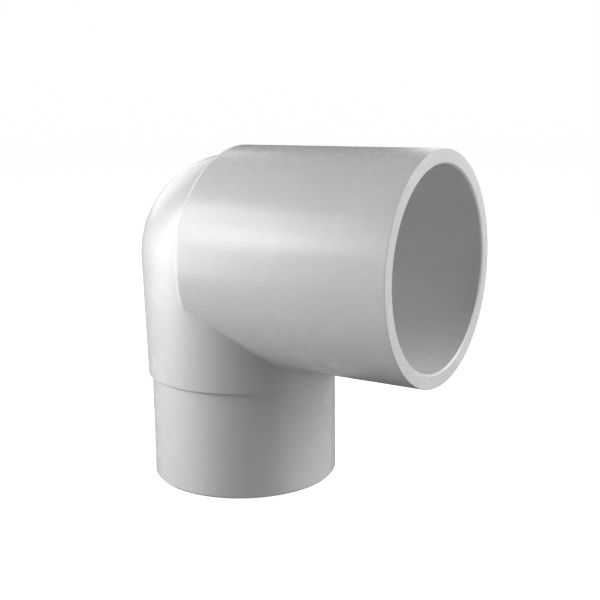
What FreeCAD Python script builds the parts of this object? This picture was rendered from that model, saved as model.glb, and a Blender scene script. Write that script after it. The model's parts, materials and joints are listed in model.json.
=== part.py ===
import FreeCAD, Part
import os

import Sketcher

# Ninety-degree street elbow for solvent-weld pressure pipe, nominal size 3 inch.
# One end is a plain spigot of pipe size, the other a hub with a socket for a pipe.
#
# Frame: origin at the centre of the spigot's end face, +Z up along the spigot,
# +X out of the socket's mouth. The two centrelines cross at (0, 0, axis_height).

doc = FreeCAD.newDocument("street_elbow")
sheet = doc.addObject("Spreadsheet::Sheet", "Sizes")

# alias, value, what it is (millimetres and degrees)
DRIVING = [
    ("spigot_radius", "44.45", "outside radius of the spigot, as the pipe's"),
    ("spigot_bore", "38.95", "radius of the waterway in the spigot, as the pipe's"),
    ("spigot_length", "50.0", "end face to the step"),
    ("tip_chamfer", "1.0", "bevel round the spigot's tip"),
    ("lip_chamfer", "0.5", "bevel inside the spigot's tip"),
    ("axis_height", "107.2", "end face to the socket's centreline"),
    ("barrel_radius", "46.2", "outside radius of the body at the step"),
    ("heel_radius", "47.6", "outside radius of the rounded heel"),
    ("step_round", "0.8", "rounding of the body's lower edge"),
    ("chamber_radius", "41.2", "inside radius of the turn"),
    ("hub_radius", "51.2", "outside radius of the hub"),
    ("hub_length", "104.3", "socket's mouth to the spigot's centreline"),
    ("hub_bore", "40.5", "radius of the waterway behind the socket"),
    ("socket_radius", "44.65", "inside radius of the socket"),
    ("socket_depth", "47.6", "mouth to pipe stop"),
    ("mouth_chamfer", "0.75", "lead-in bevel at the socket's mouth"),
    ("mouth_round", "0.3", "rounding of the mouth's outer edge"),
    ("rear_round", "2.6", "rounding of the hub's rear edge"),
    ("corner_fillet", "3.0", "inside corner where the hub meets the body"),
]
for row, (alias, value, note) in enumerate(DRIVING, start=1):
    sheet.set(f"A{row}", alias)
    sheet.set(f"B{row}", value)
    sheet.setAlias(f"B{row}", alias)
    sheet.set(f"C{row}", note)

# alias, formula: lengths that follow from the driving ones
DERIVED = [
    ("tip_outer", "=spigot_radius - tip_chamfer"),
    ("tip_inner", "=spigot_bore + lip_chamfer"),
    ("barrel_depth", "=axis_height - spigot_length"),
    ("barrel_flat", "=barrel_radius - step_round"),
    ("barrel_lift", "=axis_height - spigot_length - step_round"),
    ("chamber_drop", "=sqrt(chamber_radius * chamber_radius - spigot_bore * spigot_bore)"),
    ("stop_plane", "=hub_length - socket_depth"),
    ("chamfer_plane", "=hub_length - mouth_chamfer"),
    ("mouth_inner", "=socket_radius + mouth_chamfer"),
    ("mouth_outer", "=hub_radius - mouth_round"),
    ("mouth_back", "=hub_length - mouth_round"),
    ("rear_outer", "=hub_radius - rear_round"),
    ("clear_of_mouth", "=hub_length + mouth_chamfer"),
]
for row, (alias, formula) in enumerate(DERIVED, start=len(DRIVING) + 1):
    sheet.set(f"A{row}", alias)
    sheet.set(f"B{row}", formula)
    sheet.setAlias(f"B{row}", alias)
doc.recompute()


def size(alias):
    return float(sheet.get(alias))


def plane(body, role):
    for feature in body.Origin.OriginFeatures:
        if feature.Role == role:
            return feature
    raise LookupError(role)


def new_body(label):
    body = doc.addObject("PartDesign::Body", label)
    body.Label = label
    return body


def new_sketch(body, name, role):
    sketch = body.newObject("Sketcher::SketchObject", name)
    sketch.AttachmentSupport = [(plane(body, role), "")]
    sketch.MapMode = "FlatFace"
    return sketch


def coordinate(text):
    """A coordinate is the name of a size, a name with a minus sign, or 0."""
    if text == "0":
        return 0.0
    if text.startswith("-"):
        return -size(text[1:])
    return size(text)


def expression(text):
    if text.startswith("-"):
        return f"-Sizes.{text[1:]}"
    return f"Sizes.{text}"


def pin_point(sketch, geometry, end, across, along, name):
    """Hold one end of an edge at a coordinate pair taken from the sheet."""
    for kind, text, axis in (("DistanceX", across, -2), ("DistanceY", along, -1)):
        if text == "0":
            sketch.addConstraint(
                Sketcher.Constraint("PointOnObject", geometry, end, axis)
            )
            continue
        index = sketch.addConstraint(
            Sketcher.Constraint(kind, -1, 1, geometry, end, coordinate(text))
        )
        label = f"{name}_{'x' if kind == 'DistanceX' else 'y'}"
        sketch.renameConstraint(index, label)
        sketch.setExpression(f"Constraints.{label}", expression(text))


def closed_profile(sketch, corners, arcs):
    """A closed outline through the corners, each edge a line, or an arc about a
    stated centre where arcs has its index: (centre across, centre along, turn)."""
    count = len(corners)
    vec = [FreeCAD.Vector(coordinate(a), coordinate(b), 0) for a, b in corners]
    ends = []
    for i in range(count):
        start, stop = vec[i], vec[(i + 1) % count]
        if i in arcs:
            across, along, turn = arcs[i]
            centre = FreeCAD.Vector(coordinate(across), coordinate(along), 0)
            circle = Part.Circle(centre, FreeCAD.Vector(0, 0, 1), (start - centre).Length)
            first, last = (start, stop) if turn == "ccw" else (stop, start)
            edge = Part.ArcOfCircle(
                circle, circle.parameter(first), circle.parameter(last)
            )
            sketch.addGeometry(edge, False)
            ends.append((1, 2) if turn == "ccw" else (2, 1))
        else:
            sketch.addGeometry(Part.LineSegment(start, stop), False)
            ends.append((1, 2))
    for i in range(count):
        follow = (i + 1) % count
        sketch.addConstraint(
            Sketcher.Constraint("Coincident", i, ends[i][1], follow, ends[follow][0])
        )
    for i, (across, along) in enumerate(corners):
        pin_point(sketch, i, ends[i][0], across, along, f"corner{i}")
    for i, (across, along, turn) in arcs.items():
        # the ends are held, so one coordinate of the centre settles the arc
        centre = FreeCAD.Vector(coordinate(across), coordinate(along), 0)
        chord = vec[(i + 1) % count] - vec[i]
        kind, text, axis = (
            ("DistanceX", across, -2)
            if abs(chord.x) <= abs(chord.y)
            else ("DistanceY", along, -1)
        )
        if text == "0":
            sketch.addConstraint(Sketcher.Constraint("PointOnObject", i, 3, axis))
            continue
        index = sketch.addConstraint(
            Sketcher.Constraint(kind, -1, 1, i, 3, coordinate(text))
        )
        label = f"centre{i}"
        sketch.renameConstraint(index, label)
        sketch.setExpression(f"Constraints.{label}", expression(text))


def revolve(body, sketch, axis, name, kind="PartDesign::Revolution"):
    feature = body.newObject(kind, name)
    feature.Profile = sketch
    feature.ReferenceAxis = (sketch, [axis])
    feature.Angle = 360.0
    sketch.Visibility = False
    return feature


# ---- spigot_end: the plain pipe-sized end, standing on its end face ----
spigot = new_body("spigot_end")
outline = new_sketch(spigot, "spigot_outline", "XZ_Plane")
closed_profile(
    outline,
    [
        ("tip_inner", "0"),
        ("tip_outer", "0"),
        ("spigot_radius", "tip_chamfer"),
        ("spigot_radius", "spigot_length"),
        ("spigot_bore", "spigot_length"),
        ("spigot_bore", "lip_chamfer"),
    ],
    {},
)
revolve(spigot, outline, "V_Axis", "spigot_tube")

# ---- elbow_body: barrel and rounded heel, hollowed where the waterway turns ----
elbow = new_body("elbow_body")
elbow.setExpression("Placement.Base.z", "Sizes.axis_height")
outline = new_sketch(elbow, "body_outline", "XZ_Plane")
closed_profile(
    outline,
    [
        ("spigot_bore", "-barrel_depth"),
        ("barrel_flat", "-barrel_depth"),
        ("barrel_radius", "-barrel_lift"),
        ("heel_radius", "0"),
        ("0", "heel_radius"),
        ("0", "chamber_radius"),
        ("spigot_bore", "-chamber_drop"),
    ],
    {
        1: ("barrel_flat", "-barrel_lift", "ccw"),
        3: ("0", "0", "ccw"),
        5: ("0", "0", "cw"),
    },
)
revolve(elbow, outline, "V_Axis", "body_shell")
doc.recompute()
shell_volume = elbow.Shape.Volume
opening = new_sketch(elbow, "side_opening", "YZ_Plane")
opening.addGeometry(
    Part.Circle(FreeCAD.Vector(0, 0, 0), FreeCAD.Vector(0, 0, 1), size("hub_bore")),
    False,
)
opening.addConstraint(Sketcher.Constraint("Coincident", 0, 3, -1, 1))
index = opening.addConstraint(Sketcher.Constraint("Radius", 0, size("hub_bore")))
opening.renameConstraint(index, "opening_radius")
opening.setExpression("Constraints.opening_radius", "Sizes.hub_bore")
cut = elbow.newObject("PartDesign::Pocket", "side_bore")
cut.Profile = opening
cut.Length = size("hub_radius")
cut.setExpression("Length", "Sizes.hub_radius")
cut.Reversed = True
opening.Visibility = False
doc.recompute()
if not elbow.Shape.Volume < shell_volume - 1000:
    raise ValueError("the side bore cuts nothing")

# ---- socket_hub: the wide hub, its socket, pipe stop and the saddle behind it ----
# The outer form of hub and body together, so that the edge where they meet can be rounded
hub_form = new_body("hub_form")
hub_form.setExpression("Placement.Base.z", "Sizes.axis_height")
outline = new_sketch(hub_form, "hub_outline", "XZ_Plane")
closed_profile(
    outline,
    [
        ("0", "0"),
        ("hub_length", "0"),
        ("hub_length", "mouth_outer"),
        ("mouth_back", "hub_radius"),
        ("rear_round", "hub_radius"),
        ("0", "rear_outer"),
    ],
    {
        2: ("mouth_back", "mouth_outer", "ccw"),
        4: ("rear_round", "rear_outer", "ccw"),
    },
)
revolve(hub_form, outline, "H_Axis", "hub_solid")

body_form = new_body("body_form")
body_form.setExpression("Placement.Base.z", "Sizes.axis_height")
outline = new_sketch(body_form, "form_outline", "XZ_Plane")
closed_profile(
    outline,
    [
        ("0", "-barrel_depth"),
        ("barrel_flat", "-barrel_depth"),
        ("barrel_radius", "-barrel_lift"),
        ("heel_radius", "0"),
        ("0", "heel_radius"),
    ],
    {
        1: ("barrel_flat", "-barrel_lift", "ccw"),
        3: ("0", "0", "ccw"),
    },
)
revolve(body_form, outline, "V_Axis", "form_solid")

outer_form = doc.addObject("Part::Fuse", "outer_form")
outer_form.Base = hub_form
outer_form.Tool = body_form
doc.recompute()

# The inside corner between hub and body is one closed line of 8 edges: the arc round the
# heel, a short straight run down each side, and the saddle line under the hub
corner = size("corner_fillet")
rounds = []
for number, edge in enumerate(outer_form.Shape.Edges, start=1):
    if edge.Degenerated:
        continue
    where, box = edge.CenterOfMass, edge.BoundBox
    saddle_line = edge.Curve.TypeId == "Part::GeomBSplineCurve"
    on_rear_plane = abs(box.XMin) < 0.2 and abs(box.XMax) < 0.2 and abs(where.y) > 5
    hub_rim = (
        edge.Curve.TypeId == "Part::GeomCircle"
        and edge.Curve.Radius > size("rear_outer") - 0.1
    )
    if saddle_line or (on_rear_plane and not hub_rim):
        rounds.append((number, corner, corner))
if len(rounds) != 8:
    raise ValueError(f"the inside corner has {len(rounds)} edges, not 8")
outer_blend = doc.addObject("Part::Fillet", "outer_blend")
outer_blend.Base = outer_form
outer_blend.Edges = rounds

hub_hollow = new_body("hub_hollow")
hub_hollow.setExpression("Placement.Base.z", "Sizes.axis_height")
outline = new_sketch(hub_hollow, "hollow_outline", "XZ_Plane")
closed_profile(
    outline,
    [
        ("-spigot_bore", "0"),
        ("clear_of_mouth", "0"),
        ("clear_of_mouth", "mouth_inner"),
        ("hub_length", "mouth_inner"),
        ("chamfer_plane", "socket_radius"),
        ("stop_plane", "socket_radius"),
        ("stop_plane", "hub_bore"),
        ("-spigot_bore", "hub_bore"),
    ],
    {},
)
revolve(hub_hollow, outline, "H_Axis", "hollow_solid")

hub_sleeve = doc.addObject("Part::Cut", "hub_sleeve")
hub_sleeve.Base = outer_blend
hub_sleeve.Tool = body_form
hub = doc.addObject("Part::Cut", "socket_hub")
hub.Label = "socket_hub"
hub.Base = hub_sleeve
hub.Tool = hub_hollow
doc.recompute()
if not hub.Shape.Volume < hub_sleeve.Shape.Volume - 1000 < outer_blend.Shape.Volume - 2000:
    raise ValueError("the hub's saddle or hollow cuts nothing")

# ---- check every object, then write each sub-part ----
parts = [spigot, elbow, hub]
doc.recompute()
for thing in doc.Objects:
    if "Invalid" in thing.State or "Error" in thing.State:
        raise ValueError(f"{thing.Name}: {thing.State}")
for sub in parts:
    shape = sub.Shape
    if shape.isNull() or not shape.isValid() or len(shape.Solids) != 1:
        raise ValueError(f"{sub.Label}: bad shape")
    box = shape.BoundBox
    print(
        f"{sub.Label}: {shape.Volume:.0f} mm3, "
        f"x {box.XMin:.2f} to {box.XMax:.2f}, y {box.YMin:.2f} to {box.YMax:.2f}, "
        f"z {box.ZMin:.2f} to {box.ZMax:.2f}"
    )
for i, one in enumerate(parts):
    for other in parts[i + 1 :]:
        shared = one.Shape.common(other.Shape).Volume
        print(f"{one.Label} and {other.Label} share {shared:.4f} mm3")
        if shared > 0.01:
            raise ValueError("two sub-parts overlap")

os.makedirs("parts", exist_ok=True)
for sub in parts:
    sub.Shape.exportStep(os.path.join("parts", f"{sub.Label}.step"))
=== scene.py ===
import json
import math

import bmesh
import bpy
import numpy as np
from mathutils import Matrix, Vector


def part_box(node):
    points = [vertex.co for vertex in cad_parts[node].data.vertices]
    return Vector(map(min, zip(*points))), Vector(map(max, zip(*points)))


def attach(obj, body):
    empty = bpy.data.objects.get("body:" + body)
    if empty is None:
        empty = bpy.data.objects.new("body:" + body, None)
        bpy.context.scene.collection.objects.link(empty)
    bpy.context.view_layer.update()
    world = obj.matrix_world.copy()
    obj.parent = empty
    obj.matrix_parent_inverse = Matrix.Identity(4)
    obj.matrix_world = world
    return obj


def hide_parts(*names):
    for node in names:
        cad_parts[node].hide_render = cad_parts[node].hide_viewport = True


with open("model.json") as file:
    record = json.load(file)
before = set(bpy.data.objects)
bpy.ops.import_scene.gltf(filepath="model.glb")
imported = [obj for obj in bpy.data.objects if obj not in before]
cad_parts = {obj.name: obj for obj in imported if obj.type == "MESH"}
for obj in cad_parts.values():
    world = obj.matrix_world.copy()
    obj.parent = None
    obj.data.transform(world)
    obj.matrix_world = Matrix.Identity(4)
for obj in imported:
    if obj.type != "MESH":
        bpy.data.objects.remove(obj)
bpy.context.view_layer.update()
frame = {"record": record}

# The street elbow's three sub-parts as finished meshes: the plain spigot, the rounded body
# and the wide hub with its socket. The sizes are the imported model's, in millimetres here,
# and each mesh is written in the row's frame in metres. Angles and heights below are taken
# about the point where the two centrelines cross.

mounts = {m["name"]: m for m in frame["record"]["mounts"]}
spigot_lo, spigot_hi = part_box("spigot_end")
body_lo, body_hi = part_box("elbow_body")
hub_lo, hub_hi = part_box("socket_hub")

MM = 0.001
AXIS_HEIGHT = mounts["socket"]["pos_m"][2] / MM
STEP = spigot_hi.z / MM - AXIS_HEIGHT          # height of the step below the crossing
SPIGOT_R = round(mounts["spigot"]["dims"]["r_mm"], 2)
HEEL_R = round(-body_lo.x / MM, 2)
HUB_R = round(hub_hi.z / MM - AXIS_HEIGHT, 2)
MOUTH = round(hub_hi.x / MM, 2)
STOP = mounts["pipe_stop"]["pos_m"][0] / MM
SOCKET_R = mounts["socket"]["dims"]["r_mm"]
SPIGOT_BORE = 38.95
HUB_BORE = 40.5
CHAMBER_R = 41.2
BARREL_R = 46.2
STEP_ROUND = 0.8
MOUTH_ROUND = 0.3
MOUTH_CHAMFER = 0.75
REAR_ROUND = 2.6
CORNER = 3.0

# The barrel narrows a little from the heel's sphere to the step, tangent to the sphere.
_far = math.hypot(BARREL_R, STEP + STEP_ROUND)
TAPER = -(math.atan2(STEP + STEP_ROUND, BARREL_R) + math.acos(HEEL_R / _far))
COS_T, SIN_T = math.cos(TAPER), math.sin(TAPER)

# The moulding's parting line stands a hair proud, in the plane of the two centrelines.
PARTING_HEIGHT = 0.09
PARTING_WIDTH = 0.20
# The trimmed gate is a low round pad on that line, high on the heel.
GATE_ANGLE = math.radians(41.0)
GATE_AT = np.array([-math.cos(GATE_ANGLE), 0.0, math.sin(GATE_ANGLE)]) * HEEL_R
GATE_R = 2.9


def unit(v):
    return v / np.maximum(np.linalg.norm(v, axis=-1, keepdims=True), 1e-12)


def smooth(low, high, x):
    t = np.clip((x - low) / (high - low), 0.0, 1.0)
    return t * t * (3 - 2 * t)


# ---------------------------------------------------------------- outlines
def outline(corners, spacing):
    """Points and outward normals along a run of straight lines, in (radius, along), with
    the solid on the left. A corner is (radius, along, rounding); rounding 0 is sharp. The
    outline comes back as runs, each smooth in itself."""
    runs, points, normals = [], [], []
    for i, (a, b, r) in enumerate(corners):
        here = np.array([a, b], float)
        first, last = i == 0, i == len(corners) - 1
        if not first:
            before = unit(here - np.array(corners[i - 1][:2], float))
        if not last:
            after = unit(np.array(corners[i + 1][:2], float) - here)
        if first:
            points, normals = [here], [np.array([after[1], -after[0]])]
            continue
        n1 = np.array([before[1], -before[0]])
        if last or r == 0:
            add_line(points, normals, here, n1, spacing)
            runs.append((np.array(points), np.array(normals)))
            if not last:
                points, normals = [here], [np.array([after[1], -after[0]])]
            continue
        n2 = np.array([after[1], -after[0]])
        turn = math.atan2(before[0] * after[1] - before[1] * after[0], before @ after)
        back = r * math.tan(abs(turn) / 2)
        start = here - before * back
        add_line(points, normals, start, n1, spacing)
        side = 1 if turn > 0 else -1
        centre = start - n1 * r * side
        count = max(4, int(abs(turn) / math.radians(11)))
        for k in range(1, count + 1):
            t = turn * k / count
            n = np.array(
                [
                    n1[0] * math.cos(t) - n1[1] * math.sin(t),
                    n1[0] * math.sin(t) + n1[1] * math.cos(t),
                ]
            )
            points.append(centre + n * r * side)
            normals.append(n)
    return runs


def add_line(points, normals, to, normal, spacing):
    start = points[-1]
    steps = max(1, int(math.ceil(np.linalg.norm(to - start) / spacing)))
    for k in range(1, steps + 1):
        points.append(start + (to - start) * k / steps)
        normals.append(normal)


def round_way(special, fine, coarse, growth):
    """Angles once round, close together at the special angles and wider between them."""
    special = sorted(special)
    angles = []
    for i, a in enumerate(special):
        b = special[(i + 1) % len(special)] + (2 * math.pi if i + 1 == len(special) else 0)
        half, t, ticks = (b - a) / 2, 0.0, [0.0]
        while t < half:
            t += min(coarse, fine + growth * t)
            ticks.append(t)
        ticks = np.array(ticks) * half / ticks[-1]
        angles += list(a + ticks) + list(b - ticks[::-1][1:-1])
    return np.array(angles)


# ---------------------------------------------------------------- meshes
class Skin:
    """Grids of points with their true normals, joined where they share points."""

    def __init__(self):
        self.index, self.verts, self.faces, self.normals, self.kinds = {}, [], [], [], []

    def vertex(self, p):
        key = (round(p[0], 5), round(p[1], 5), round(p[2], 5))
        if key not in self.index:
            self.index[key] = len(self.verts)
            self.verts.append(tuple(p))
        return self.index[key]

    def grid(self, points, normals, kind=0):
        """Rows follow the outline and columns go round, so that the last column meets the
        first."""
        rows, cols = points.shape[:2]
        ids = [[self.vertex(points[i, j]) for j in range(cols)] for i in range(rows)]
        for i in range(rows - 1):
            for j in range(cols):
                k = (j + 1) % cols
                corner = [(i, j), (i, k), (i + 1, k), (i + 1, j)]
                face, normal = [], []
                for r, c in corner:
                    if ids[r][c] not in face:
                        face.append(ids[r][c])
                        normal.append(normals[r, c])
                if len(face) > 2:
                    self.faces.append(face)
                    self.normals.append(normal)
                    self.kinds.append(kind)

    def mesh(self, name):
        mesh = bpy.data.meshes.new(name)
        lift = np.array([0.0, 0.0, AXIS_HEIGHT])
        mesh.from_pydata([tuple((np.array(v) + lift) * MM) for v in self.verts], [], self.faces)
        return mesh


def turned(run, angles, axis):
    """A run of an outline turned about Z or X."""
    (p, n) = run
    c, s = np.cos(angles)[None, :], np.sin(angles)[None, :]
    one = np.ones_like(c)
    if axis == "Z":
        make = lambda q: np.stack([q[:, :1] * c, q[:, :1] * s, q[:, 1:] * one], -1)
    else:
        make = lambda q: np.stack([q[:, 1:] * one, q[:, :1] * c, q[:, :1] * s], -1)
    return make(p), unit(make(n))


def raised(points, height):
    """How far each point stands proud, and the slope of that height."""
    h = height(points)
    slope = np.zeros_like(points)
    for k in range(3):
        step = np.zeros(3)
        step[k] = 0.01
        slope[..., k] = (height(points + step) - height(points - step)) / 0.02
    return h, slope


def proud(points, normals, height):
    h, slope = raised(points, height)
    slope -= normals * np.sum(slope * normals, -1, keepdims=True)
    return points + normals * h[..., None], unit(normals - slope)


def parting(points):
    return PARTING_HEIGHT * np.exp(-((points[..., 1] / PARTING_WIDTH) ** 2))


def piece(name, mesh, normals, material, node):
    mesh.polygons.foreach_set("use_smooth", [True] * len(mesh.polygons))
    mesh.normals_split_custom_set([tuple(n) for n in normals])
    mesh.materials.append(material)
    thing = bpy.data.objects.new(name, mesh)
    bpy.context.scene.collection.objects.link(thing)
    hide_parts(node)
    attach(thing, "root")
    return thing


# ---------------------------------------------------------------- material
def moulded_pvc(name, seed):
    """Satin white PVC as it leaves the mould: neutral, faintly uneven in tone and gloss,
    with a fine grain and shallow ripples."""
    material = bpy.data.materials.new(name)
    material.use_nodes = True
    nodes, links = material.node_tree.nodes, material.node_tree.links
    nodes.clear()

    def node(kind, **values):
        made = nodes.new(kind)
        for key, value in values.items():
            if key in made.inputs:
                made.inputs[key].default_value = value
            else:
                setattr(made, key, value)
        return made

    out = node("ShaderNodeOutputMaterial")
    shader = node("ShaderNodeBsdfPrincipled")
    shader.inputs["IOR"].default_value = 1.53
    shader.inputs["Specular IOR Level"].default_value = 0.5
    links.new(shader.outputs["BSDF"], out.inputs["Surface"])
    place = node("ShaderNodeTexCoord")
    shift = node("ShaderNodeMapping")
    shift.inputs["Location"].default_value = (seed * 0.37, seed * 0.23, seed * 0.11)
    links.new(place.outputs["Object"], shift.inputs["Vector"])

    def noise(scale, detail, rough, source=shift, out_name="Fac"):
        made = node("ShaderNodeTexNoise")
        made.inputs["Scale"].default_value = scale
        made.inputs["Detail"].default_value = detail
        made.inputs["Roughness"].default_value = rough
        links.new(source.outputs["Vector"], made.inputs["Vector"])
        return made.outputs[out_name]

    def remap(value, a, b, c, d):
        made = node("ShaderNodeMapRange")
        links.new(value, made.inputs["Value"])
        for key, v in zip(("From Min", "From Max", "To Min", "To Max"), (a, b, c, d)):
            made.inputs[key].default_value = v
        return made.outputs["Result"]

    def math_node(kind, a, b):
        made = node("ShaderNodeMath", operation=kind)
        for slot_index, v in enumerate((a, b)):
            if isinstance(v, (int, float)):
                made.inputs[slot_index].default_value = v
            else:
                links.new(v, made.inputs[slot_index])
        return made.outputs[0]

    # tone: broad clouds from the melt's flow, and fine filler specks
    clouds = noise(32.0, 3.0, 0.5)
    mottle = noise(260.0, 3.0, 0.6)
    specks = noise(2600.0, 2.0, 0.5)
    tone = math_node("ADD", remap(clouds, 0.2, 0.8, -0.4, 0.4), remap(mottle, 0.2, 0.8, -0.1, 0.1))
    tone = math_node("ADD", tone, remap(specks, 0.2, 0.8, -0.3, 0.3))
    ramp = node("ShaderNodeValToRGB")
    ramp.color_ramp.elements[0].position = 0.0
    ramp.color_ramp.elements[0].color = (*PVC_DARK, 1)
    ramp.color_ramp.elements[1].position = 1.0
    ramp.color_ramp.elements[1].color = (*PVC_LIGHT, 1)
    links.new(remap(tone, -1.0, 1.0, 0.0, 1.0), ramp.inputs["Fac"])
    links.new(ramp.outputs["Color"], shader.inputs["Base Color"])

    # gloss: uneven, a little duller where the melt clouds
    gloss = math_node("ADD", remap(mottle, 0.2, 0.8, ROUGH - 0.006, ROUGH + 0.006),
                      remap(clouds, 0.2, 0.8, -0.012, 0.012))
    gloss = math_node("ADD", gloss, remap(specks, 0.2, 0.8, -0.015, 0.015))
    links.new(gloss, shader.inputs["Roughness"])

    # surface: shallow ripples and a fine grain
    ripple = noise(190.0, 1.0, 0.4)
    grain = noise(1900.0, 3.0, 0.6)
    low = node("ShaderNodeBump")
    low.inputs["Strength"].default_value = 0.35
    low.inputs["Distance"].default_value = 0.000018
    links.new(ripple, low.inputs["Height"])
    fine = node("ShaderNodeBump")
    fine.inputs["Strength"].default_value = 0.35
    fine.inputs["Distance"].default_value = 0.000007
    links.new(grain, fine.inputs["Height"])
    links.new(low.outputs["Normal"], fine.inputs["Normal"])
    links.new(fine.outputs["Normal"], shader.inputs["Normal"])
    return material


PVC_DARK = (0.735, 0.737, 0.735)
PVC_LIGHT = (0.815, 0.815, 0.812)
ROUGH = 0.27
pvc_spigot = moulded_pvc("pvc_spigot", 1.0)
pvc_body = moulded_pvc("pvc_body", 2.0)
pvc_hub = moulded_pvc("pvc_hub", 3.0)


# ---------------------------------------------------------------- spigot_end
def spigot_height(p):
    return parting(p) * smooth(STEP - 50 + 1.6, STEP - 50 + 3.4, p[..., 2]) * smooth(
        STEP, STEP - 0.6, p[..., 2]
    )


tip = STEP - spigot_hi.z / MM + spigot_lo.z / MM
skin = Skin()
rounds = round_way([0.0, math.pi], 0.0016, 0.026, 0.2)
for i, run in enumerate(
    outline(
        [
            (SPIGOT_R, STEP, 0),
            (SPIGOT_BORE, STEP, 0),
            (SPIGOT_BORE, tip + 0.5, 0.25),
            (SPIGOT_BORE + 0.5, tip, 0.2),
            (SPIGOT_R - 1.0, tip, 0.35),
            (SPIGOT_R, tip + 1.0, 0.6),
            (SPIGOT_R, STEP, 0),
        ],
        1.6,
    )
):
    points, normals = turned(run, rounds, "Z")
    if i == 2 or run[0][:, 0].max() > SPIGOT_R - 0.01 and len(run[0]) > 3:
        where = points[..., 0] ** 2 + points[..., 1] ** 2 > (SPIGOT_R - 0.02) ** 2
        moved, bent = proud(points, normals, spigot_height)
        points = np.where(where[..., None], moved, points)
        normals = np.where(where[..., None], bent, normals)
    skin.grid(points, normals)
mesh = skin.mesh("spigot_end_skin")
piece("spigot_end_skin", mesh, [n for f in skin.normals for n in f], pvc_spigot,
      "spigot_end")


# ---------------------------------------------------------------- elbow_body
def body_gap(p):
    """Distance from the body's outer form (sphere above, slightly narrowing barrel below)
    and the direction away from it."""
    flat = np.hypot(p[..., 0], p[..., 1])
    angle = np.arctan2(p[..., 2], flat)
    along = p / np.maximum(np.linalg.norm(p, axis=-1, keepdims=True), 1e-9)
    out = np.stack([p[..., 0], p[..., 1], np.zeros_like(flat)], -1)
    out = out / np.maximum(flat, 1e-9)[..., None] * COS_T
    out[..., 2] -= SIN_T
    above = angle >= -TAPER
    gap = np.where(
        above,
        np.linalg.norm(p, axis=-1) - HEEL_R,
        flat * COS_T - p[..., 2] * SIN_T - HEEL_R,
    )
    return gap, np.where(above[..., None], along, out)


def gate(p):
    away = p - GATE_AT
    d = np.linalg.norm(away, axis=-1)
    pad = 0.34 * smooth(GATE_R + 0.45, GATE_R - 0.25, d)
    torn = (
        0.10 * np.sin(away[..., 1] * 3.1 + 0.6) * np.sin(away[..., 2] * 3.7 + away[..., 0] * 2.3)
        + 0.05 * np.sin(away[..., 1] * 7.3 + away[..., 2] * 5.9)
    )
    nub = (0.12 + torn) * smooth(1.5, 0.9, d)
    return pad + nub


def body_height(p):
    ridge = parting(p) * smooth(STEP + 0.8, STEP + 1.8, p[..., 2])
    away = np.linalg.norm(p - GATE_AT, axis=-1)
    return ridge * smooth(GATE_R - 0.2, GATE_R + 0.6, away) + gate(p)


rounds = round_way([0.0, math.pi], 0.0018, 0.026, 0.07)
skin = Skin()
# inside: the chamber's sphere, the bore under it, and the lower edge as far as the round
drop = -math.sqrt(CHAMBER_R**2 - SPIGOT_BORE**2)
turn = np.linspace(math.pi / 2, math.asin(drop / CHAMBER_R), 60)
chamber = np.stack([np.cos(turn), np.sin(turn)], -1)
chamber[0, 0] = 0.0
points, normals = turned((chamber * CHAMBER_R, -chamber), rounds, "Z")
skin.grid(points, normals, 1)
edge = BARREL_R - (STEP_ROUND) * math.tan(TAPER)
lower = outline(
    [
        (SPIGOT_BORE, drop, 0),
        (SPIGOT_BORE, STEP, 0),
        (edge, STEP, STEP_ROUND),
        (HEEL_R * COS_T, -HEEL_R * SIN_T, 0),
    ],
    2.2,
)
points, normals = turned(lower[0], rounds, "Z")
skin.grid(points, normals, 2)
# outside: the edge's round, the barrel and the heel's sphere in one smooth run
turn = [-TAPER]
while turn[-1] < math.pi / 2:
    near = abs(turn[-1] - GATE_ANGLE) < math.radians(5.2)
    turn.append(turn[-1] + math.radians(0.3 if near else 1.4))
turn = np.array(turn[1:-1] + [math.pi / 2])
dome = np.stack([np.cos(turn), np.sin(turn)], -1)
dome[-1, 0] = 0.0
outer = (
    np.concatenate([lower[1][0], dome * HEEL_R]),
    np.concatenate([lower[1][1], dome]),
)
points, normals = turned(outer, rounds, "Z")
skin.grid(points, normals, 3)
shell = skin.mesh("elbow_body_skin")

bore = Skin()
ticks = np.linspace(0, 2 * math.pi, 240, endpoint=False)
for run in outline(
    [(0, 1.0, 0), (HUB_BORE, 1.0, 0), (HUB_BORE, 62.0, 0), (0, 62.0, 0)], 61.0
):
    # the outline runs out along the wall, so the solid lies towards the axis
    p, n = turned(run, ticks, "X")
    bore.grid(p, n, 4)
tool = bore.mesh("side_bore")


def with_kinds(mesh, kinds):
    for k in range(6):
        mesh.materials.append(bpy.data.materials.get(f"kind{k}") or bpy.data.materials.new(f"kind{k}"))
    mesh.polygons.foreach_set("material_index", kinds)


with_kinds(shell, skin.kinds)
with_kinds(tool, bore.kinds)
whole = bpy.data.objects.new("whole", shell)
cutter = bpy.data.objects.new("cutter", tool)
for o in (whole, cutter):
    bpy.context.scene.collection.objects.link(o)
cut = whole.modifiers.new("side_bore", "BOOLEAN")
cut.operation = "DIFFERENCE"
cut.solver = "EXACT"
cut.object = cutter
graph = bpy.context.evaluated_depsgraph_get()
body = bpy.data.meshes.new_from_object(whole.evaluated_get(graph))
body.name = "elbow_body_skin"
tidy = bmesh.new()
tidy.from_mesh(body)
bmesh.ops.dissolve_degenerate(tidy, dist=2e-7, edges=tidy.edges)
tidy.to_mesh(body)
tidy.free()
bpy.data.objects.remove(whole)
bpy.data.objects.remove(cutter)

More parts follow.
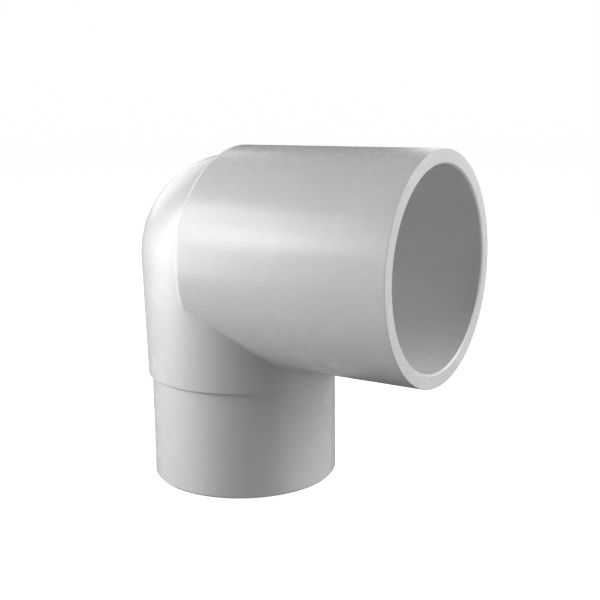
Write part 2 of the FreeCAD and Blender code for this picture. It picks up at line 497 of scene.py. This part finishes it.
count = len(body.vertices)
co = np.zeros(count * 3, np.float64)
body.vertices.foreach_get("co", co)
co = co.reshape(-1, 3) / MM - np.array([0.0, 0.0, AXIS_HEIGHT])
kinds = np.zeros(len(body.polygons), np.int32)
body.polygons.foreach_get("material_index", kinds)
flat_normals = np.zeros(len(body.polygons) * 3, np.float64)
body.polygons.foreach_get("normal", flat_normals)
flat_normals = flat_normals.reshape(-1, 3)
starts = np.zeros(len(body.polygons), np.int32)
body.polygons.foreach_get("loop_start", starts)
totals = np.zeros(len(body.polygons), np.int32)
body.polygons.foreach_get("loop_total", totals)
corners = np.zeros(len(body.loops), np.int32)
body.loops.foreach_get("vertex_index", corners)
face_of = np.repeat(np.arange(len(totals)), totals)
at = co[corners]
kind = kinds[face_of]
flat = np.hypot(at[:, 0], at[:, 1])
true = flat_normals[face_of].copy()
true[kind == 1] = -unit(at[kind == 1])
bore_wall = kind == 2
low_edge = bore_wall & (np.abs(flat_normals[face_of][:, 2]) > 0.9)
true[bore_wall & ~low_edge] = -unit(at[bore_wall & ~low_edge] * [1, 1, 0])
side = (kind == 4) & (np.abs(flat_normals[face_of][:, 0]) < 0.9)
true[side] = -unit(at[side] * [0, 1, 1])
outside = kind == 3
away = body_gap(at)[1]
rim_r, rim_z = lower[1][0][0]
ring = np.stack([at[:, 0], at[:, 1], np.zeros(len(at))], -1) / np.maximum(flat, 1e-9)[:, None]
# the lower edge's round turns from straight down to straight out
n_ring = np.interp(at[:, 2], lower[1][0][:, 1], lower[1][1][:, 0])
n_down = np.interp(at[:, 2], lower[1][0][:, 1], lower[1][1][:, 1])
barrel = unit(ring * n_ring[:, None] + np.array([0, 0, 1.0]) * n_down[:, None])
true[outside] = np.where((at[:, 2] < STEP + STEP_ROUND * 1.05)[:, None], barrel, away)[outside]
_, bent = proud(at, true, body_height)
true[outside] = bent[outside]
on_outside = np.zeros(count, bool)
on_outside[corners[outside]] = True
moved, _ = proud(co, body_gap(co)[1], body_height)
co[on_outside] = moved[on_outside]
co = (co + np.array([0.0, 0.0, AXIS_HEIGHT])) * MM
body.vertices.foreach_set("co", co.ravel())
body.materials.clear()
body.polygons.foreach_set("material_index", np.zeros(len(kinds), np.int32))
body.update()
piece("elbow_body_skin", body, true, pvc_body, "elbow_body")


# ---------------------------------------------------------------- socket_hub
def hub_outline_at(t):
    """The hub's outer form by distance t along it from the tip of the rear round's arc:
    negative t is on the rear plane, then the rear round, then the straight wall. Gives
    (radius, along) and the normal there."""
    arc = REAR_ROUND * math.pi / 2
    t = np.asarray(t, float)
    angle = np.clip(t / REAR_ROUND, 0, math.pi / 2)
    n = np.stack([np.sin(angle), -np.cos(angle)], -1)
    p = n * REAR_ROUND + np.array([HUB_R - REAR_ROUND, REAR_ROUND])
    p = p + np.stack([np.minimum(t, 0), np.maximum(t - arc, 0)], -1)
    return p, n


ARC = REAR_ROUND * math.pi / 2
rounds = round_way(
    [math.pi / 2, 3 * math.pi / 2, math.radians(-22), math.radians(202)], 0.0016, 0.024, 0.2
)
cos_r, sin_r = np.cos(rounds), np.sin(rounds)


def to_space(p):
    return np.stack([p[..., 1], p[..., 0] * cos_r, p[..., 0] * sin_r], -1)


def ball(t):
    p, n = hub_outline_at(t)
    return to_space(p + n * CORNER)


# a ball of the corner's radius rolls along the hub, touching the body too: its distance
# along the hub's outline is found for each angle round the hub
low = np.full(len(rounds), -3.0)
high = np.full(len(rounds), ARC + 60.0)
for _ in range(60):
    middle = (low + high) / 2
    clear = body_gap(ball(middle))[0] > CORNER
    high = np.where(clear, middle, high)
    low = np.where(clear, low, middle)
touch = (low + high) / 2
centre = ball(touch)
hub_touch, hub_way = hub_outline_at(touch)
hub_side = unit(to_space(hub_way))
body_side = body_gap(centre)[1]

skin = Skin()
steps = 16
swing = np.arccos(np.clip(np.sum(hub_side * body_side, -1), -1, 1))
rows_p, rows_n = [], []
for k in range(steps + 1):
    t = k / steps
    n = unit(
        body_side * np.sin((1 - t) * swing)[:, None] + hub_side * np.sin(t * swing)[:, None]
    )
    rows_p.append(centre - n * CORNER)
    rows_n.append(n)
fillet_p, fillet_n = np.array(rows_p), np.array(rows_n)

wall_end = ARC + MOUTH - MOUTH_ROUND - REAR_ROUND
ticks, t = [0.0], 0.0
while t < 1.0:
    t += min(0.022, 0.0022 + 0.10 * t)
    ticks.append(t)
ticks = np.array(ticks) / ticks[-1]
along = touch[None, :] + (wall_end - touch)[None, :] * ticks[:, None]
p, n = hub_outline_at(along)
wall_p, wall_n = to_space(p), unit(to_space(n))


def hub_height(p):
    return parting(p) * smooth(MOUTH - MOUTH_ROUND, MOUTH - MOUTH_ROUND - 2.0, p[..., 0])


outer_p = np.concatenate([fillet_p, wall_p[1:]])
outer_n = np.concatenate([fillet_n, wall_n[1:]])
outer_p, outer_n = proud(outer_p, outer_n, hub_height)
skin.grid(outer_p, outer_n)

# the mouth, the socket, the pipe stop and the waterway behind it
runs = outline(
    [
        (HUB_R, MOUTH - MOUTH_ROUND, 0),
        (HUB_R, MOUTH, MOUTH_ROUND),
        (SOCKET_R + MOUTH_CHAMFER, MOUTH, 0.2),
        (SOCKET_R, MOUTH - MOUTH_CHAMFER, 0.5),
        (SOCKET_R, STOP, 0.25),
        (HUB_BORE, STOP, 0.4),
        (HUB_BORE, STOP - 4.0, 0),
    ],
    2.2,
)
for run in runs:
    points, normals = turned(run, rounds, "X")
    skin.grid(points, normals)
inner_y, inner_z = HUB_BORE * cos_r, HUB_BORE * sin_r
guess = np.stack([np.full(len(rounds), 30.0), inner_y, inner_z], -1)
lo_x, hi_x = np.full(len(rounds), 10.0), np.full(len(rounds), 60.0)
for _ in range(60):
    x = (lo_x + hi_x) / 2
    inside = body_gap(np.stack([x, inner_y, inner_z], -1))[0] < 0
    lo_x, hi_x = np.where(inside, x, lo_x), np.where(inside, hi_x, x)
inner_x = (lo_x + hi_x) / 2
share = np.linspace(0, 1, 16)[:, None]
bore_p = np.stack(
    [
        (STOP - 4.0) * (1 - share) + inner_x[None, :] * share,
        inner_y[None, :] + 0 * share,
        inner_z[None, :] + 0 * share,
    ],
    -1,
)
bore_n = np.stack([np.zeros_like(bore_p[..., 0]), -cos_r + 0 * share, -sin_r + 0 * share], -1)
skin.grid(bore_p, bore_n)
# hidden face where the hub sits on the body
share = np.linspace(0, 1, 13)[:, None, None]
seat = bore_p[-1][None] * (1 - share) + (centre - body_side * CORNER)[None] * share
for _ in range(4):
    gap, way = body_gap(seat)
    seat = seat - way * gap[..., None]
seat[0], seat[-1] = bore_p[-1], outer_p[0]
skin.grid(seat, -body_gap(seat)[1])
mesh = skin.mesh("socket_hub_skin")
piece("socket_hub_skin", mesh, [n for f in skin.normals for n in f], pvc_hub,
      "socket_hub")


# ---------------------------------------------------------------- floor, light, camera
FLOOR_COLOUR = (0.45, 0.45, 0.45)
FLOOR_GLOW = 0.99


def plain(name, colour, rough, emission=0.0):
    material = bpy.data.materials.new(name)
    material.use_nodes = True
    nodes, links = material.node_tree.nodes, material.node_tree.links
    shader = nodes["Principled BSDF"]
    cloud = nodes.new("ShaderNodeTexNoise")
    cloud.inputs["Scale"].default_value = 3.0
    ramp = nodes.new("ShaderNodeValToRGB")
    ramp.color_ramp.elements[0].color = (*[c * 0.995 for c in colour], 1)
    ramp.color_ramp.elements[1].color = (*colour, 1)
    links.new(cloud.outputs["Fac"], ramp.inputs["Fac"])
    links.new(ramp.outputs["Color"], shader.inputs["Base Color"])
    shader.inputs["Roughness"].default_value = rough
    shader.inputs["Specular IOR Level"].default_value = 0.0
    shader.inputs["Emission Color"].default_value = (1, 1, 1, 1)
    shader.inputs["Emission Strength"].default_value = emission
    return material


# a sheet of pale paper that lies flat under the object and rises all round, far away
sweep = [(r, 0.0) for r in (0.0, 0.2, 0.5, 1.0, 2.0, 3.0)]
sweep += [
    (3.0 + 1.5 * math.sin(a), 1.5 - 1.5 * math.cos(a)) for a in np.radians(np.arange(6, 91, 6))
]
sweep += [(4.5, 3.0), (4.5, 6.0)]
around = np.linspace(0, 2 * math.pi, 96, endpoint=False)
paper_verts = [(r * math.cos(a), r * math.sin(a), z) for r, z in sweep[1:] for a in around]
paper_verts.append((0.0, 0.0, 0.0))
paper_faces = []
for j in range(96):
    k = (j + 1) % 96
    paper_faces.append((len(paper_verts) - 1, j, k))
    for i in range(len(sweep) - 2):
        paper_faces.append((i * 96 + j, (i + 1) * 96 + j, (i + 1) * 96 + k, i * 96 + k))
floor_mesh = bpy.data.meshes.new("floor")
floor_mesh.from_pydata(paper_verts, [], paper_faces)
floor_mesh.polygons.foreach_set("use_smooth", [True] * len(paper_faces))
floor_mesh.materials.append(plain("floor_paper", FLOOR_COLOUR, 0.9, FLOOR_GLOW))
floor = bpy.data.objects.new("floor", floor_mesh)
bpy.context.scene.collection.objects.link(floor)
floor.location.z = -0.0003
# the paper takes the object's shadow but throws no light back up under it
floor.visible_diffuse = False
floor.visible_glossy = False
floor.visible_shadow = False

scene = bpy.context.scene
world = bpy.data.worlds.new("studio")
scene.world = world
world.use_nodes = True
backdrop = world.node_tree.nodes["Background"]
backdrop.inputs["Color"].default_value = (1, 1, 1, 1)
backdrop.inputs["Strength"].default_value = 0.0

crossing = Vector((0.0, 0.0, AXIS_HEIGHT * MM))


def softbox(name, azimuth, elevation, distance, size, power):
    """A soft light at an angle about the object; azimuth 0 is the side that faces -Y and
    90 the side that faces +X."""
    data = bpy.data.lights.new(name, "AREA")
    data.shape = "RECTANGLE"
    data.size, data.size_y = size
    data.energy = power
    light = bpy.data.objects.new(name, data)
    scene.collection.objects.link(light)
    a, e = math.radians(azimuth), math.radians(elevation)
    way = Vector((math.sin(a) * math.cos(e), -math.cos(a) * math.cos(e), math.sin(e)))
    light.location = crossing + way * distance
    light.rotation_mode = "QUATERNION"
    light.rotation_quaternion = (-way).to_track_quat("-Z", "Y")
    return light


LIGHTS = [
    ("left_wall", -47.2, 0.0, 0.7, (0.35, 0.35), 1.861),
    ("right_wall", 112.8, 0.0, 0.7, (0.35, 0.35), 1.527),
    ("right_back", 132.8, 30.0, 0.7, (0.35, 0.35), 1.371),
    ("rear_right", 182.8, 25.0, 0.8, (0.5, 0.5), 1.200),
    ("rear_left", -117.2, 25.0, 0.8, (0.5, 0.5), 1.200),
    ("left_wall_high", -47.2, 30.0, 0.7, (0.35, 0.35), 1.184),
    ("left_back", -67.2, 0.0, 0.7, (0.35, 0.35), 0.939),
    ("right_wall_high", 112.8, 30.0, 0.7, (0.35, 0.35), 0.937),
    ("bounce", 32.8, -80.0, 0.7, (0.5, 0.5), 0.589),
    ("right_front", 82.8, 30.0, 0.7, (0.35, 0.35), 0.559),
    ("front", 47.8, 0.0, 0.7, (0.35, 0.35), 0.258),
    ("bounce_right", 92.8, -35.0, 0.7, (0.4, 0.4), 0.253),
    ("glint_back", -47.2, 40.0, 0.8, (0.12, 0.12), 0.197),
    ("left_front", -27.2, 0.0, 0.7, (0.35, 0.35), 0.180),
    ("glint_high", -37.2, 30.0, 0.8, (0.15, 0.15), 0.179),
    ("glint_left", -52.2, 25.0, 0.35, (0.12, 0.12), 0.159),
    ("glint", -27.2, 20.0, 0.35, (0.08, 0.08), 0.158),
    ("glint_far", -22.2, 20.0, 0.8, (0.15, 0.15), 0.142),
    ("glint_mid", -27.2, 25.0, 0.8, (0.1, 0.1), 0.098),
    ("bounce_left", -27.2, -35.0, 0.7, (0.4, 0.4), 0.097),
]
for row in LIGHTS:
    softbox(*row)

back = Vector((0.5307, -0.8250, 0.1942)).normalized()
right = Vector((0.8410, 0.5410, 0.0)).normalized()
up = back.cross(right).normalized()
roll = math.radians(-0.533)
x_axis = right * math.cos(roll) + up * math.sin(roll)
y_axis = up * math.cos(roll) - right * math.sin(roll)
camera_data = bpy.data.cameras.new("camera")
camera_data.sensor_width = 36.0
camera_data.lens = 60.0
camera_data.clip_start, camera_data.clip_end = 0.01, 50.0
camera = bpy.data.objects.new("camera", camera_data)
scene.collection.objects.link(camera)
spot = crossing + Vector((0.2800, -0.3842, 0.0705))
camera.matrix_world = Matrix(
    (
        (x_axis.x, y_axis.x, back.x, spot.x),
        (x_axis.y, y_axis.y, back.y, spot.y),
        (x_axis.z, y_axis.z, back.z, spot.z),
        (0, 0, 0, 1),
    )
)
scene.camera = camera
scene.view_settings.view_transform = "Standard"
